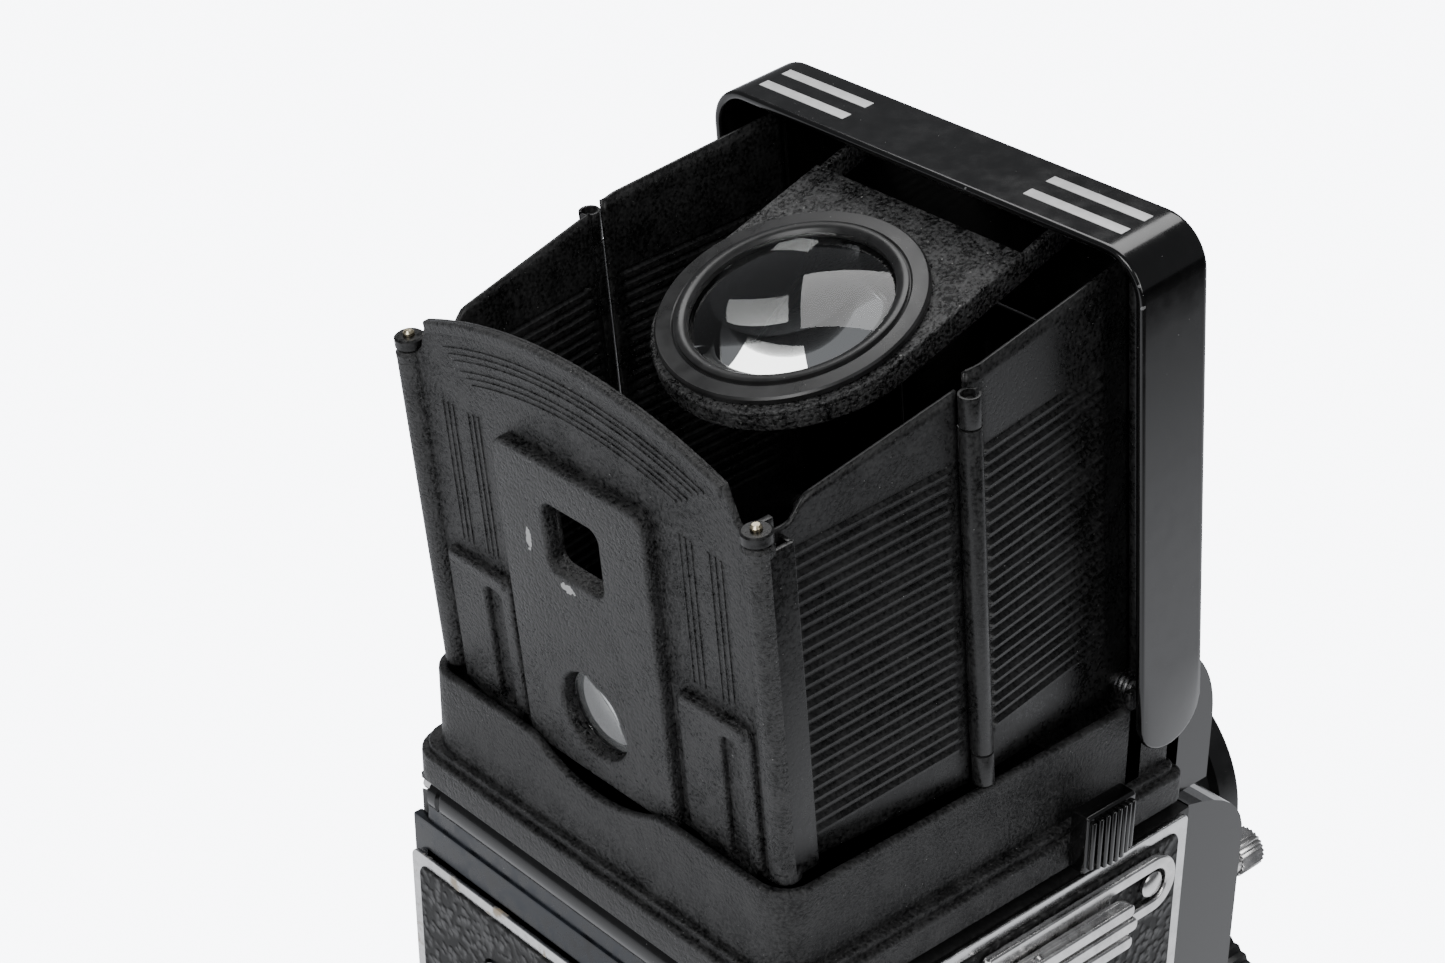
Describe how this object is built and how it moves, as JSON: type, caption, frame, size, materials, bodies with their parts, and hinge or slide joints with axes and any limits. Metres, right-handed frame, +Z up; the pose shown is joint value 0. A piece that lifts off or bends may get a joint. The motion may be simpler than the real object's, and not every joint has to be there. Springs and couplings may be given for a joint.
{
  "type": "twin lens reflex camera",
  "caption": "Box-shaped roll-film camera with a viewing lens over a taking lens and an open folding waist-level hood with loupe.",
  "frame": {"origin": "centre of the whole camera's box, on the plane that its feet stand on", "axes": "+Z up, the lenses look along -Y, +X towards the focusing-knob side"},
  "size_m": [0.104, 0.1093, 0.203],
  "materials": {
    "crackle_black": "fine crackle enamel, matte",
    "gloss_black": "gloss black enamel",
    "satin_black": "satin black enamel",
    "body_black": "satin black enamel over a die casting",
    "leather_black": "pebbled leatherette in a bright trim frame",
    "nickel": "satin nickel plate",
    "steel": "plain spring steel",
    "brass": "worn brass",
    "clear_glass": "polished",
    "ground_glass": "ground screen",
    "silvered": "front-silvered",
    "spool_black": "moulded"
  },
  "bodies": {
    "camera_body": {"body_shell": "body_black", "mirror": "silvered", "film_gate": "satin_black", "light_cone": "satin_black", "tripod_bush": "nickel", "front_housing": "gloss_black", "counter_window": "clear_glass", "focusing_screen": "ground_glass", "door_pin": "nickel", "side_panel_left": "leather_black", "side_panel_right": "leather_black", "strap_lug_left": "nickel", "strap_lug_right": "nickel", "strap_clip_left": "nickel", "strap_clip_right": "nickel"},
    "back_door": {"back_door": "gloss_black", "back_panel": "leather_black", "exposure_plate": "nickel"},
    "pressure_plate": {"pressure_plate": "satin_black"},
    "latch_ring": {"latch_ring": "nickel"},
    "hood": {"hood_frame": "crackle_black", "lid_pin": "steel", "hood_lid": "gloss_black", "lid_spring_left": "steel", "lid_spring_right": "steel", "loupe_pin": "steel"},
    "finder_flap": {"finder_flap": "gloss_black"},
    "loupe": {"loupe_arm": "crackle_black", "loupe_ring": "satin_black", "loupe_lens": "clear_glass"},
    "front_leaf_left": {"front_leaf_left": "satin_black", "knee_pin_left": "steel"},
    "rear_leaf_left": {"rear_leaf_left": "satin_black"},
    "rear_wall": {"rear_wall": "crackle_black", "eye_lens": "clear_glass", "post_pin_left": "brass", "post_pin_right": "brass"},
    "front_leaf_right": {"front_leaf_right": "satin_black", "knee_pin_right": "steel"},
    "rear_leaf_right": {"rear_leaf_right": "satin_black"},
    "lens_panel": {"lens_panel": "gloss_black", "lens_plate": "satin_black", "viewing_barrel": "satin_black", "viewing_glass": "clear_glass", "taking_barrel": "satin_black", "taking_glass": "clear_glass", "flash_socket": "nickel"},
    "aperture_wheel": {"aperture_wheel": "satin_black"},
    "speed_wheel": {"speed_wheel": "satin_black"},
    "release_button": {"release_button": "nickel"},
    "timer_lever": {"timer_lever": "nickel"},
    "focus_knob": {"focus_knob": "satin_black"},
    "film_crank": {"film_crank": "nickel"},
    "crank_knob": {"crank_knob": "satin_black"},
    "take_up_spool": {"take_up_spool": "spool_black"},
    "supply_spool": {"supply_spool": "spool_black"},
    "take_up_knob": {"take_up_knob": "nickel"},
    "supply_knob": {"supply_knob": "nickel"},
    "hood_lock_left": {"hood_lock_left": "satin_black"},
    "hood_lock_right": {"hood_lock_right": "satin_black"}
  },
  "joints": [
    {"name": "door_open", "type": "hinge", "parent": "camera_body", "child": "back_door", "pos_m": [0.00095, 0.04926, 0.1149], "axis": [1, 0, 0], "range_deg": [0, 85]},
    {"name": "pressure_plate_press", "type": "slide", "parent": "back_door", "child": "pressure_plate", "axis": [0, 1, 0], "range_m": [0, 0.001], "stiffness_N_per_m": 400, "springref_m": -0.002},
    {"name": "latch_turn", "type": "hinge", "parent": "back_door", "child": "latch_ring", "pos_m": [0.00095, 0.01936, 0.0007], "axis": [0, 0, 1], "range_deg": [0, 90]},
    {"name": "hood_lift_off", "type": "slide", "parent": "camera_body", "child": "hood", "axis": [0, 0, 1], "range_m": [0, 0.025]},
    {"name": "hood_lock_press_left", "type": "slide", "parent": "hood", "child": "hood_lock_left", "axis": [0, 0, -1], "range_m": [0, 0.0015], "stiffness_N_per_m": 300, "springref_m": -0.002},
    {"name": "hood_lock_press_right", "type": "slide", "parent": "hood", "child": "hood_lock_right", "axis": [0, 0, -1], "range_m": [0, 0.0015], "stiffness_N_per_m": 300, "springref_m": -0.002},
    {"name": "finder_flap_open", "type": "hinge", "parent": "hood", "child": "finder_flap", "pos_m": [0.00095, -0.01488, 0.1799], "axis": [1, 0, 0], "range_deg": [0, 85]},
    {"name": "loupe_fold", "type": "hinge", "parent": "hood", "child": "loupe", "pos_m": [0.00095, -0.0098, 0.19667], "axis": [1, 0, 0], "range_deg": [-76, 0], "stiffness_Nm_per_rad": 0.02, "springref_deg": 45.84},
    {"name": "hood_collapse", "type": "hinge", "parent": "hood", "child": "front_leaf_left", "pos_m": [0.0321, -0.01451, 0.13663], "axis": [0, 0.1045, 0.9945], "range_deg": [0, 24]},
    {"name": "knee_left", "type": "hinge", "parent": "front_leaf_left", "child": "rear_leaf_left", "pos_m": [0.0342, 0.01603, 0.13342], "axis": [0, 0.1045, 0.9945], "range_deg": [-48.5, 0.5]},
    {"name": "wall_hinge", "type": "hinge", "parent": "rear_leaf_left", "child": "rear_wall", "pos_m": [0.0321, 0.04656, 0.13021], "axis": [0, 0.1045, 0.9945], "range_deg": [-0.5, 24.5]},
    {"name": "front_leaf_hinge_right", "type": "hinge", "parent": "hood", "child": "front_leaf_right", "pos_m": [-0.0302, -0.01451, 0.13663], "axis": [0, 0.1045, 0.9945], "range_deg": [-24.5, 0.5]},
    {"name": "knee_right", "type": "hinge", "parent": "front_leaf_right", "child": "rear_leaf_right", "pos_m": [-0.0323, 0.01603, 0.13342], "axis": [0, 0.1045, 0.9945], "range_deg": [-0.5, 48.5]},
    {"name": "focus_turn", "type": "hinge", "parent": "camera_body", "child": "focus_knob", "pos_m": [0.00095, 0.00886, 0.062], "axis": [1, 0, 0], "range_deg": [-3, 303]},
    {"name": "focus_travel", "type": "slide", "parent": "camera_body", "child": "lens_panel", "axis": [0, -1, 0], "range_m": [0, 0.008]},
    {"name": "aperture_turn", "type": "hinge", "parent": "lens_panel", "child": "aperture_wheel", "pos_m": [0.02695, -0.03914, 0.068], "axis": [0, 1, 0], "range_deg": [-70, 70]},
    {"name": "speed_turn", "type": "hinge", "parent": "lens_panel", "child": "speed_wheel", "pos_m": [-0.02505, -0.03914, 0.068], "axis": [0, 1, 0], "range_deg": [-80, 80]},
    {"name": "release_press", "type": "slide", "parent": "lens_panel", "child": "release_button", "axis": [0, 1, 0], "range_m": [0, 0.0025], "stiffness_N_per_m": 400, "springref_m": -0.001},
    {"name": "timer_set", "type": "hinge", "parent": "lens_panel", "child": "timer_lever", "pos_m": [0.02695, -0.03514, 0.024], "axis": [0, 1, 0], "range_deg": [0, 75]},
    {"name": "film_wind", "type": "hinge", "parent": "camera_body", "child": "film_crank", "pos_m": [0.00095, 0.01486, 0.068], "axis": [-1, 0, 0], "continuous": true},
    {"name": "crank_knob_spin", "type": "hinge", "parent": "film_crank", "child": "crank_knob", "pos_m": [0.00095, 0.01486, 0.039], "axis": [-1, 0, 0], "continuous": true},
    {"name": "take_up_turn", "type": "hinge", "parent": "camera_body", "child": "take_up_spool", "pos_m": [0.00095, 0.03706, 0.0876], "axis": [-1, 0, 0], "continuous": true},
    {"name": "supply_turn", "type": "hinge", "parent": "camera_body", "child": "supply_spool", "pos_m": [0.00095, -0.00314, 0.0169], "axis": [-1, 0, 0], "continuous": true},
    {"name": "take_up_knob_pull", "type": "slide", "parent": "camera_body", "child": "take_up_knob", "axis": [1, 0, 0], "range_m": [0, 0.005], "stiffness_N_per_m": 200, "springref_m": -0.002},
    {"name": "supply_knob_pull", "type": "slide", "parent": "camera_body", "child": "supply_knob", "axis": [1, 0, 0], "range_m": [0, 0.005], "stiffness_N_per_m": 200, "springref_m": -0.002}
  ],
  "couplings": [
    {"joint": "knee_left", "follows": "hood_collapse", "ratio": -2},
    {"joint": "wall_hinge", "follows": "hood_collapse", "ratio": 1},
    {"joint": "front_leaf_hinge_right", "follows": "hood_collapse", "ratio": -1},
    {"joint": "knee_right", "follows": "hood_collapse", "ratio": 2},
    {"joint": "focus_turn", "follows": "focus_travel", "rad_per_m": 654.5},
    {"joint": "take_up_turn", "follows": "film_wind", "ratio": 1}
  ]
}
